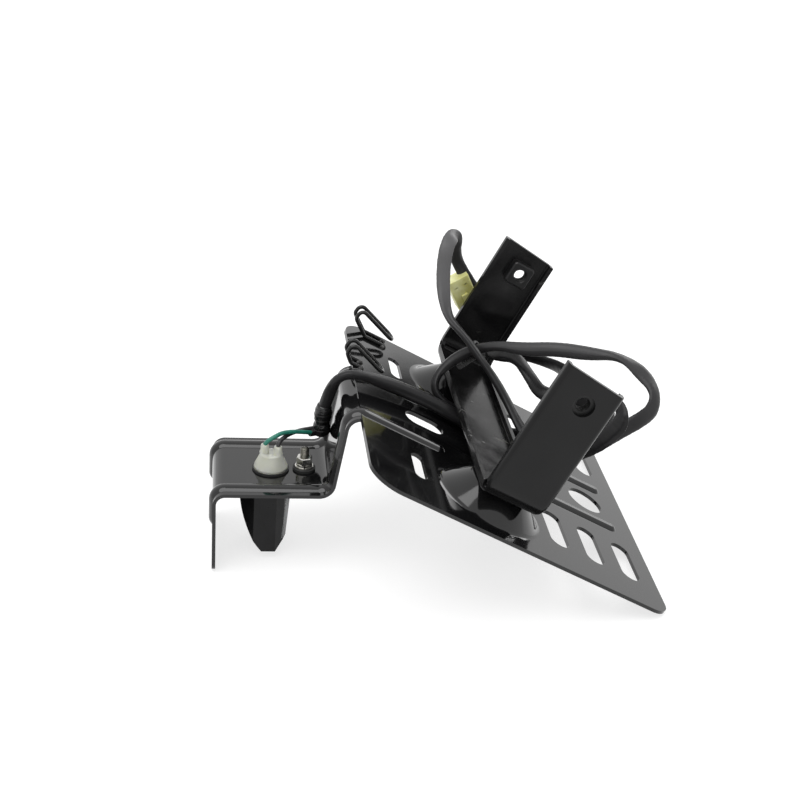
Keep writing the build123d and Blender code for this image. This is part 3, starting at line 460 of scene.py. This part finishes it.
# harness sleeve: route points in mm, the solid's route moved to follow the strands
sleeve = {
    "route": np.array([
        (-56.2, 14.4, 67.6), (-55.6, 13.2, 75.6), (-53.6, 10.6, 83.4), (-51.2, 7.6, 91.6),
        (-48.2, 5.0, 98.6), (-42.0, 4.2, 101.6), (-33.4, 5.4, 99.8), (-22.0, 10.6, 92.9),
        (-8.5, 14.8, 84.9), (5.0, 16.6, 77.0), (18.5, 15.0, 69.0), (31.5, 11.0, 61.3),
        (46.0, 5.5, 52.8), (62.0, -2.0, 47.6), (80.0, -13.0, 51.0), (95.6, -23.0, 64.4),
        (107.2, -28.0, 76.2), (117.5, -26.5, 81.0), (127.1, -19.5, 83.7), (130.6, -9.5, 90.1),
        (124.8, 0.0, 97.6), (113.2, 6.5, 105.6), (96.2, 12.5, 105.1), (78.9, 19.0, 105.8),
        (62.0, 27.0, 102.6), (47.0, 38.0, 101.1), (33.7, 46.0, 94.6), (22.7, 47.0, 88.1),
        (13.4, 43.5, 81.3), (10.7, 37.0, 74.0), (16.9, 31.6, 67.2), (31.0, 28.0, 61.3),
        (46.0, 26.0, 52.8), (57.5, 24.0, 50.0), (68.0, 20.0, 51.4), (80.0, 15.4, 54.6),
        (95.9, 12.4, 55.7), (109.0, 11.0, 59.8), (109.9, 11.2, 70.1), (98.0, 13.4, 77.1),
        (72.7, 20.0, 74.8), (65.5, 30.0, 85.2), (60.7, 43.0, 90.4), (50.1, 51.0, 89.4),
        (50.1, 62.5, 86.6), (59.4, 68.5, 84.5), (71.7, 67.0, 80.2), (81.4, 57.0, 80.3),
        (86.7, 42.0, 83.3), (88.7, 21.0, 86.8), (92.3, -2.0, 89.9), (95.5, -26.0, 96.7),
        (98.9, -41.0, 100.8), (100.4, -50.5, 100.3), (98.8, -55.8, 94.7), (93.2, -56.0, 88.5),
        (86.4, -51.5, 79.8), (74.9, -42.0, 69.2), (64.0, -26.0, 62.0), (56.5, -6.0, 66.3),
        (51.0, 9.0, 75.6), (44.2, 20.0, 87.2), (35.6, 30.5, 97.9), (28.7, 42.5, 105.9),
        (20.5, 55.0, 112.3), (19.1, 66.0, 124.4), (20.0, 73.5, 137.5), (22.0, 77.2, 147.7),
        (26.5, 85.0, 152.6), (30.7, 95.8, 147.4), (30.3, 100.2, 136.7), (34.3, 104.4, 124.3),
        (43.1, 102.2, 111.4),
    ]),
    "diameter": 7.0,
    "length": 1.04,
    "around": 48,
    # the flat side's turn away from the picture, in degrees, at route points
    "turn": {
        0: 0, 2: 10, 3: 40, 4: 80, 6: 85, 12: 80, 14: 40, 16: 10, 18: 15, 19: 60, 20: 15, 21: 80, 23: 78,
        24: 70, 25: 80, 26: 85, 31: 85, 34: 60, 37: 40, 38: 20, 39: 10, 40: 15, 41: 42, 42: 40, 43: 20,
        45: 10, 46: 60, 48: 60, 51: 40, 53: 70, 54: 35, 56: 25, 58: 40, 59: 55, 60: 75, 61: 80, 62: 85,
        63: 85, 64: 60, 65: 10, 66: 0, 68: 0, 69: 10, 70: 0, 72: 0,
    },
    # half width and half thickness in mm at route points
    "wide": {
        0: 3.6, 2: 3.6, 3: 3.9, 4: 4.2, 6: 4.2, 7: 4.1, 12: 4.0, 15: 4.3, 16: 4.5, 18: 4.5, 19: 4.2,
        20: 5.2, 21: 4.2, 22: 4.0, 24: 4.2, 25: 4.2, 26: 3.6, 27: 3.6, 29: 4.2, 36: 4.3, 38: 5.3, 39: 5.0,
        40: 4.6, 41: 4.4, 42: 4.2, 43: 4.8, 45: 5.2, 46: 4.6, 48: 4.6, 53: 4.6, 54: 5.4, 56: 5.0, 60: 4.3,
        62: 4.0, 65: 4.1, 66: 4.2, 68: 4.4, 70: 3.8, 72: 3.8,
    },
    "thin": {
        0: 3.4, 2: 3.3, 3: 2.8, 4: 2.5, 6: 2.8, 7: 4.1, 12: 4.1, 13: 3.2, 15: 2.2, 16: 1.9, 18: 1.9,
        19: 2.7, 20: 2.1, 21: 2.0, 22: 4.3, 24: 4.1, 25: 2.6, 26: 3.5, 27: 3.5, 28: 2.4, 36: 2.4, 38: 2.2,
        40: 2.2, 41: 2.6, 45: 2.4, 48: 2.6, 53: 2.2, 56: 2.4, 60: 2.6, 61: 2.4, 63: 2.3, 65: 2.0, 66: 1.8,
        68: 1.6, 70: 1.9, 72: 1.9,
    },
    # share of the paler colour at route points, painted sheen where the sleeve's faces catch the sky light
    "paintedSheen": {
        0: 0.0, 6: 0.1, 12: 0.0, 18: 0.1, 19: 0.2, 20: 0.35, 22: 0.4, 24: 0.4, 26: 0.1, 30: 0.0, 58: 0.0,
        62: 0.05, 63: 0.05, 64: 0.3, 65: 0.95, 68: 1.0, 69: 0.4, 70: 0.2, 72: 0.2,
    },
    "evenReach": 7,
    "facing": -back,
    "tipPower": 0.83,
    "facePower": 1.4,
    # rates are in radians per metre of the line
    "dent": {"depth": 0.16, "reach": 0.45, "steady": 0.6, "swing": 0.4, "rate": 210, "start": 1.3},
    "creases": {"height": 0.018, "rate": 900, "round": 2},
    "grain": {"height": 0.012, "rate": 2300, "round": -1},
}


# values given at route points, carried along the line: a spline of order three passes by point i at
# i - 1/2 spans
def alongLine(keys, count, way):
    spans = np.clip(np.array(list(keys)) - 0.5, 0, count - 2)
    stations = np.interp(spans, np.linspace(0, count - 2, len(way)), way)
    return np.interp(way, stations, np.array(list(keys.values()), float))


# running mean along a line, ends held
def evened(values, reach):
    kernel = np.ones(2 * reach + 1) / (2 * reach + 1)
    return np.convolve(np.pad(values, reach, mode="edge"), kernel, mode="valid")


# a wave raised to a power with its sign kept: below one it is squared off, above one it is drawn thin
def bentWave(wave, power):
    return np.sign(wave) * np.abs(wave) ** power


# a wave that goes with the way travelled and the angle round the tube
def tubeWave(form, way, angle):
    return form["height"] * np.sin(way * form["rate"] + form["round"] * angle)


# a flattened tube: at each place of the line a lens with creased tips, its thin way turned from the facing
# direction, with a shallow lengthwise dent where it is flat and small ripples that go with the way travelled
def flatSleeve(name, piece):
    guide = cordLine(name + "Guide", piece["route"] * mm)
    lineMesh = bpy.data.meshes.new_from_object(guide)
    line = np.empty(len(lineMesh.vertices) * 3)
    lineMesh.vertices.foreach_get("co", line)
    line = line.reshape(-1, 3)
    bpy.data.meshes.remove(lineMesh)
    bpy.data.objects.remove(guide)
    line = line[np.r_[True, np.linalg.norm(np.diff(line, axis=0), axis=1) > sameSpot]]
    way = np.r_[0, np.cumsum(np.linalg.norm(np.diff(line, axis=0), axis=1))]
    ahead = unit(np.gradient(line, way, axis=0))
    face = unit(piece["facing"] - ahead * (ahead @ piece["facing"])[:, None])
    side = np.cross(ahead, face)
    turn, wide, thin, paintedSheen = (
        evened(alongLine(piece[key], len(piece["route"]), way), piece["evenReach"])
        for key in ("turn", "wide", "thin", "paintedSheen")
    )
    turn = np.radians(turn)[:, None]
    thinAxis = face * np.cos(turn) + side * np.sin(turn)
    wideAxis = np.cross(ahead, thinAxis)
    angle = np.linspace(0, fullTurn, piece["around"], endpoint=False)[None, :]
    x = bentWave(np.cos(angle), piece["tipPower"])
    y = bentWave(np.sin(angle), piece["facePower"])
    way, wide, thin = way[:, None], wide[:, None], thin[:, None]
    flatness = np.clip((wide - thin) / wide, 0, 1)
    hollow = piece["dent"]
    middle = np.exp(-(np.cos(angle) / hollow["reach"]) ** 2)
    swing = hollow["steady"] + hollow["swing"] * np.sin(way * hollow["rate"] + hollow["start"])
    dent = 1 - hollow["depth"] * flatness * middle * swing
    ripple = 1 + tubeWave(piece["creases"], way, angle) * flatness + tubeWave(piece["grain"], way, angle)
    points = (
        line[:, None]
        + wideAxis[:, None] * (x * wide * ripple * mm)[..., None]
        + thinAxis[:, None] * (y * thin * dent * ripple * mm)[..., None]
    )
    tube = gridPiece(name, points)
    # each ring of corners carries its share of the painted sheen
    paintedSheenShare = tube.data.attributes.new("paintedSheen", "FLOAT", "POINT")
    paintedSheenShare.data.foreach_set("value", np.r_[np.repeat(paintedSheen, piece["around"]), 0.0, 0.0])  # fans' middles last
    return tube, line


sleeveTube, sleeveLine = flatSleeve("sleeveTube", sleeve)
settle(sleeveTube, looks["sleevePvc"], "sleeve_pvc", "harness_sleeve")

# lamp leads, from the boot's spigots to the taped end of the sleeve
leads = {
    "greenLead": {
        "route": np.array([
            (-89.43, -2.0, 62.88), (-88.0, -2.0, 65.0), (-83.6, -0.9, 67.0), (-79.6, 1.8, 67.8),
            (-73.3, 5.0, 66.8), (-66.4, 8.6, 64.2), (-60.5, 13.0, 61.4),
        ]),
        "diameter": 2.5, "length": 0.0352, "finish": "greenWire", "slot": "green_wire", "node": "wire_green",
    },
    "blackLead": {
        "route": np.array([
            (-82.05, -4.0, 62.41), (-81.8, -3.9, 64.6), (-79.8, -0.6, 65.1), (-76.0, 5.8, 64.6),
            (-71.0, 8.9, 64.9), (-66.0, 11.5, 64.6), (-60.2, 14.2, 63.9),
        ]),
        "diameter": 2.5, "length": 0.0305, "finish": "blackWire", "slot": "black_wire", "node": "wire_black",
    },
}
leadRoundness = 6
for name, lead in leads.items():
    wire = cordLine(name, lead["route"] * mm)
    wire.data.bevel_depth = lead["diameter"] / 2 * mm
    wire.data.bevel_resolution = leadRoundness
    wire.data.use_fill_caps = True
    settle(wire, looks[lead["finish"]], lead["slot"], lead["node"])
print("cords laid")

turnedCols = 40  # columns round a turned piece that names no number of its own


# rows along an axis and columns round it, with the radius given for each place of the grid
def turnedGrid(foot, axis, heights, radius, helper=(0, 1, 0), cols=turnedCols):
    u, v, w = squareAxes(axis, helper)
    angle = np.linspace(0, fullTurn, cols, endpoint=False)
    r = np.broadcast_to(radius, (len(heights), cols))[..., None]
    spokes = np.cos(angle)[None, :, None] * u + np.sin(angle)[None, :, None] * v
    return foot + mm * (np.asarray(heights)[:, None, None] * w + r * spokes)


# share of the thread's depth at a height and angle: a triangle wave that climbs one pitch per turn
def threadWave(heights, pitch):
    angle = np.linspace(0, 1, turnedCols, endpoint=False)[None, :]
    return 1 - 2 * np.abs((heights[:, None] / pitch - angle) % 1 - 0.5)


# thread on the lamp's stud: the wave taken off its radius, and a chamfer at the tip
stud = {
    "along": 51.4, "across": -3.0, "low": -6.5, "high": 13.4, "radius": 2.5,
    "depth": 0.32, "pitch": 0.8, "chamfer": 0.6, "step": 0.1,
}
heights = np.arange(stud["low"], stud["high"] + stud["step"] / 10, stud["step"])
threaded = stud["radius"] - stud["depth"] * threadWave(heights, stud["pitch"])
chamfered = stud["radius"] - np.clip(heights - stud["high"] + stud["chamfer"], 0, 1)
radius = np.minimum(threaded, chamfered[:, None])
studGrid = turnedGrid(onShelf(stud["along"], stud["across"], 0), shelfNormal, heights, radius)
settle(gridPiece("studThread", studGrid), looks["dullZinc"], "zinc_steel", "lamp_stud")
print("stud threaded")

# thread in the weld nuts: a closed ring whose inner side carries the wave and whose outer side lies just
# inside the bore
nutThread = {
    "along": 76.0, "above": 80.0, "outerFace": 91.5, "innerFace": 85.4, "bore": 4.0, "depth": 0.5,
    "pitch": 1.25, "step": 0.12, "outerGap": 0.15, "innerGap": 0.1, "rootGap": 0.05, "wallGap": 0.01,
}
nutHeight = nutThread["outerFace"] - nutThread["innerFace"]
heights = np.arange(nutThread["outerGap"], nutHeight - nutThread["innerGap"], nutThread["step"])
root = nutThread["bore"] - nutThread["rootGap"]
inner = root - nutThread["depth"] * threadWave(heights, nutThread["pitch"])
outer = np.full_like(inner, nutThread["bore"] - nutThread["wallGap"])
inAndOut = np.r_[heights, heights[::-1]]
for name, side in (("threadNear", -1), ("threadFar", 1)):
    foot = onPlate(nutThread["along"], side * nutThread["outerFace"], nutThread["above"])
    nutGrid = turnedGrid(foot, (0, -side, 0), inAndOut, np.vstack([inner, outer]), helper=(1, 0, 0))
    settle(gridPiece(name, nutGrid, ring=True), looks["blackNut"], "weld_nuts")
print("nuts threaded")

# weld lumps at the ends of the wire hooks' legs: low domes, lumpy round the foot
hookWelds = {
    "ends": {"Far": (26.8, 91.0), "Mid": (5.6, 37.5)}, "strands": 8.6, "setBack": 0.6,
    "radius": 2.3, "height": 1.9, "sunk": 0.2, "crown": 0.25, "levels": 12,
    "bigLumps": (3, 0.09), "smallLumps": (7, 0.05),
}
bigCount, bigSize = hookWelds["bigLumps"]
smallCount, smallSize = hookWelds["smallLumps"]
heights = np.linspace(-hookWelds["sunk"], hookWelds["height"], hookWelds["levels"])
rise = np.clip(heights, 0, None) / (hookWelds["height"] + hookWelds["crown"])
dome = np.sqrt(np.clip(1 - rise ** 2, 0, 1))
angle = np.linspace(0, fullTurn, turnedCols, endpoint=False)
for word, (along, across) in hookWelds["ends"].items():
    for mark, side in (("A", -1), ("B", 1)):
        bigLumps = bigSize * np.sin(bigCount * angle + side)
        smallLumps = smallSize * np.sin(smallCount * angle + 2 * side + along)
        radius = hookWelds["radius"] * dome[:, None] * (1 + bigLumps + smallLumps)
        foot = onPlate(along - hookWelds["setBack"], across + side * hookWelds["strands"] / 2, 0)
        weldGrid = turnedGrid(foot, plateNormal, heights, radius)
        settle(gridPiece("hookWeld" + word + mark, weldGrid), looks["weldBead"], "hook_wire")
print("hooks welded")

# tape round the sleeve's start: radius read from a profile along the axis, plus a low step that climbs with
# the angle, as overlapping turns of tape do, and two slow lumps, both fading at the ends
wrap = {
    "foot": np.array([-57.2, 15.3, 58.4]), "head": np.array([-54.9, 12.2, 79.8]),
    "at": [0.0, 0.4, 1.3, 2.8, 5.0, 7.2, 9.6, 11.8, 14.2, 17.2, 20.0, 21.0, 21.4],
    "radius": [0.8, 2.4, 3.8, 4.7, 5.0, 4.9, 4.3, 4.8, 5.0, 4.8, 4.3, 4.0, 3.4],
    "turn": 3.4, "step": 0.22, "lump": 0.1, "twist": 0.5, "fade": 2.0, "rows": 180, "cols": 64,
}
wrapLength = wrap["at"][-1]
heights = np.linspace(0, wrapLength, wrap["rows"])
turns = np.linspace(0, 1, wrap["cols"], endpoint=False)[None, :]
climb = (heights[:, None] / wrap["turn"] - turns) % 1
lumps = wrap["lump"] * np.sin(2 * fullTurn * turns + wrap["twist"] * heights[:, None])
fade = np.clip(np.minimum(heights, wrapLength - heights) / wrap["fade"], 0, 1)[:, None]
profile = np.interp(heights, wrap["at"], wrap["radius"])[:, None]
radius = profile + fade * (wrap["step"] * climb + lumps)
wrapGrid = turnedGrid(wrap["foot"] * mm, wrap["head"] - wrap["foot"], heights, radius, cols=wrap["cols"])
tapeWrap = settle(gridPiece("tapeWrap", wrapGrid), looks["glossTape"], "tape", "sleeve_collar")

# two short tubes out of the tape: the snout that takes the leads, and the cut end of a spare tube; each is a
# closed ring of rows, up the outside, over the lip and down the bore
stubs = {
    "leadSnout": {"foot": (-57.6, 15.0, 62.0), "tip": (-63.9, 11.5, 61.9), "outer": (3.1, 2.0), "bore": 1.35},
    "spareStub": {"foot": (-56.9, 14.0, 64.4), "tip": (-56.8, 9.4, 67.2), "outer": (2.1, 1.8), "bore": 1.1},
}
# rows as shares of a stub's length
stubRows = {"up": np.r_[0, np.linspace(0.2, 0.97, 14)], "over": (1.0, 1.0), "down": (0.97, 0.5, 0.1)}
stubLip = 0.12
stubCols = 36
for name, stub in stubs.items():
    foot, tip = np.array(stub["foot"]), np.array(stub["tip"])
    heights = np.r_[stubRows["up"], stubRows["over"], stubRows["down"]] * np.linalg.norm(tip - foot)
    outside = np.interp(stubRows["up"], (0, 1), stub["outer"])
    lip = (stub["outer"][1] - stubLip, stub["bore"] + stubLip)
    bore = np.full(len(stubRows["down"]), stub["bore"])
    radius = np.r_[outside, lip, bore][:, None]
    stubGrid = turnedGrid(foot * mm, tip - foot, heights, radius, helper=(0, 0, 1), cols=stubCols)
    settle(gridPiece(name, stubGrid, ring=True), looks["glossTape"], "tape")
print("collar taped")

# cable tie: a band round the sleeve, its head below and its tail along the strand; the ribs are a saw wave
# along the strap on its outer side, and the tail's tip is smooth and rounded
tie = {
    "spans": 25.35, "slopeReach": 3, "radius": 4.3, "bandRows": 240,
    "thick": 0.6, "half": 1.9, "rim": 0.9, "rib": 1.3, "ribHeight": 0.5,
    "headSize": (2.7, 2.3, 2.4), "headLean": 0.4, "headSunk": 0.4, "headRows": 25, "headCols": 48,
    "headSquare": 0.3, "headEdge": 0.2, "headInset": 0.16,
    "tailTo": (25.2, 42.4, 85.4), "tailBow": 0.5, "tailRows": 160, "smoothTip": 3.2, "tipLeast": 0.01,
}


# rows along a strap and columns round its rectangle: half width across and half thickness out, with the ribs
# added on the outer side between the rims
def strapGrid(middle, across, out, ribs, taper):
    rim = tie["rim"]
    corner = np.array([
        (-1, -1), (-rim, -1), (rim, -1), (1, -1), (1, 1), (rim, 1), (0, 1), (-rim, 1), (-1, 1),
    ])
    sideways, outwards = corner[None, :, :1], corner[None, :, 1:]
    ribbed = (outwards > 0) & (np.abs(sideways) < 1)
    w = sideways * tie["half"] * taper[:, None, None]
    t = outwards * tie["thick"] + ribbed * ribs[:, None, None]
    return middle[:, None] + mm * (w * across + t * out[:, None])


spot = int(round(tie["spans"] / (len(sleeve["route"]) - 2) * (len(sleeveLine) - 1)))
run = unit(sleeveLine[spot + tie["slopeReach"]] - sleeveLine[spot - tie["slopeReach"]])
bandU, bandV, _ = squareAxes(run, back)
angle = np.linspace(0, fullTurn, tie["bandRows"], endpoint=False)
out = np.cos(angle)[:, None] * bandU + np.sin(angle)[:, None] * bandV
ribs = tie["ribHeight"] * ((angle * tie["radius"] / tie["rib"]) % 1)
bandMiddle = sleeveLine[spot] + out * tie["radius"] * mm
bandGrid = strapGrid(bandMiddle, run, out, ribs, np.ones(tie["bandRows"]))
tieBand = settle(gridPiece("tieBand", bandGrid, ring=True), looks["tieNylon"], "tie_nylon", "cable_tie")

# head: rows from face to face of a rounded box, columns a squared circle, drawn in near both faces
headAxis = unit(-tie["headLean"] * bandU * np.sign(bandU[2]) - bandV * np.sign(bandV[2]))
headU, headV, headW = squareAxes(headAxis, run)
level = np.linspace(-1, 1, tie["headRows"])
nearFace = np.clip((np.abs(level) - (1 - tie["headEdge"])) / tie["headEdge"], 0, 1)
inset = (1 - tie["headInset"] * nearFace ** 2)[:, None]
angle = np.linspace(0, fullTurn, tie["headCols"], endpoint=False)
squareX = inset * bentWave(np.cos(angle), tie["headSquare"])
squareY = inset * bentWave(np.sin(angle), tie["headSquare"])
sizeU, sizeV, sizeW = tie["headSize"]
headSpot = sleeveLine[spot] + headAxis * (tie["radius"] + sizeW - tie["headSunk"]) * mm
headGrid = headSpot + mm * (
    (level * sizeW)[:, None, None] * headW
    + (squareX * sizeU)[..., None] * headU
    + (squareY * sizeV)[..., None] * headV
)
tieHead = settle(gridPiece("tieHead", headGrid), looks["tieNylon"], "tie_nylon")

# tail: from the head to its tip, bowed a little
tailWay = np.array(tie["tailTo"]) - headSpot / mm
tailLength = np.linalg.norm(tailWay)
tailAhead = unit(tailWay)
tailOut = unit(back - tailAhead * (back @ tailAhead))
tailAcross = np.cross(tailAhead, tailOut)
share = np.linspace(0, 1, tie["tailRows"])
toTip = (1 - share) * tailLength
ribs = tie["ribHeight"] * ((share * tailLength / tie["rib"]) % 1) * (toTip > tie["smoothTip"])
roundTip = np.clip(1 - toTip / tie["half"], 0, 1)
taper = np.sqrt(np.clip(1 - roundTip ** 2, tie["tipLeast"], 1))
bow = tie["tailBow"] * np.sin(np.pi * share)
tailMiddle = headSpot + mm * (share[:, None] * tailWay - bow[:, None] * tailOut)
tailGrid = strapGrid(tailMiddle, tailAcross, tailOut[None, :], ribs, taper)
tieTail = settle(gridPiece("tieTail", tailGrid), looks["tieNylon"], "tie_nylon")
print("tie closed")


# a copy of a solid's mesh with doubled corners merged, and its corners as rows
def mergedCopy(node):
    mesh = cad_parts[node].data.copy()
    form = bmesh.new()
    form.from_mesh(mesh)
    bmesh.ops.remove_doubles(form, verts=form.verts, dist=sameSpot)
    form.to_mesh(mesh)
    form.free()
    mesh.materials.clear()
    corners = np.empty(len(mesh.vertices) * 3)
    mesh.vertices.foreach_get("co", corners)
    return mesh, corners.reshape(-1, 3)


# the copy's corners put in their new places, as a piece of its own
def movedCopy(name, mesh, corners):
    mesh.vertices.foreach_set("co", corners.ravel())
    mesh.update()
    return addObject(name, mesh)


# connector: turned in the picture plane about its own middle and shifted, with soft edges; a turned offset is
# the offset times the cosine, plus back crossed with it times the sine, plus its part along back times one
# less the cosine
plug = {
    "pieces": {
        "connector": ("creamNylon", "connector_nylon"),
        "connector_terminals": ("terminalBrass", "terminal_brass"),
    },
    "turn": math.radians(19.0), "shift": (-3.0, -2.4), "edge": 0.0005, "edgeSteps": 3,
}
pivot = np.mean(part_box("connector"), axis=0)
cosTurn, sinTurn = math.cos(plug["turn"]), math.sin(plug["turn"])
plugMiddle = pivot + mm * (plug["shift"][0] * right + plug["shift"][1] * up)
for node, (look, slotName) in plug["pieces"].items():
    mesh, corners = mergedCopy(node)
    offset = corners - pivot
    alongBack = back * (offset @ back)[:, None]
    turned = offset * cosTurn + np.cross(back, offset) * sinTurn + alongBack * (1 - cosTurn)
    piece = movedCopy(node + "Turned", mesh, turned + plugMiddle)
    if node == "connector":
        edge = piece.modifiers.new("softEdge", "BEVEL")
        edge.width = plug["edge"]
        edge.segments = plug["edgeSteps"]
        edge.limit_method = "ANGLE"
    settle(piece, looks[look], slotName, node)
print("connector turned")

# boot: the solid's round shoulder drawn in to a straight cone; a corner's distance from the axis is taken
# times the cone's radius over the arc's at its height, which fades out at the foot and over the spigots
boot = {
    "along": 32.6, "across": -3.0, "arc": ((9.7, 2.3), (9.0, 6.3), (5.7, 9.5)), "cone": (9.5, 6.2),
    "foot": 1.1, "spigots": 11.0, "crease": math.radians(32.0),
}
arcLow, arcMiddle, arcHigh = (np.array(p) for p in boot["arc"])
chords = np.array([arcMiddle - arcLow, arcHigh - arcMiddle])
squares = [arcMiddle @ arcMiddle - arcLow @ arcLow, arcHigh @ arcHigh - arcMiddle @ arcMiddle]
arcCentre = np.linalg.solve(2 * chords, squares)
arcRadius = np.linalg.norm(arcLow - arcCentre)
low, high = arcLow[1], arcHigh[1]
mesh, corners = mergedCopy("bulb_holder")
offset = corners - onShelf(boot["along"], boot["across"], 0)
height = offset @ shelfNormal
spoke = offset - height[:, None] * shelfNormal
level = np.clip(height / mm, low, high)
arc = arcCentre[0] + np.sqrt(arcRadius ** 2 - (level - arcCentre[1]) ** 2)
cone = np.interp(level, (low, high), boot["cone"])
fade = np.interp(height / mm, (boot["foot"], low, high, boot["spigots"]), (0, 1, 1, 0))
coneBoot = movedCopy("coneBoot", mesh, corners + (fade * (cone / arc - 1))[:, None] * spoke)
mesh.shade_smooth()
mesh.set_sharp_from_angle(angle=boot["crease"])
settle(coneBoot, looks["milkyBoot"], "pale_rubber", "bulb_holder")
print("boot shaped")
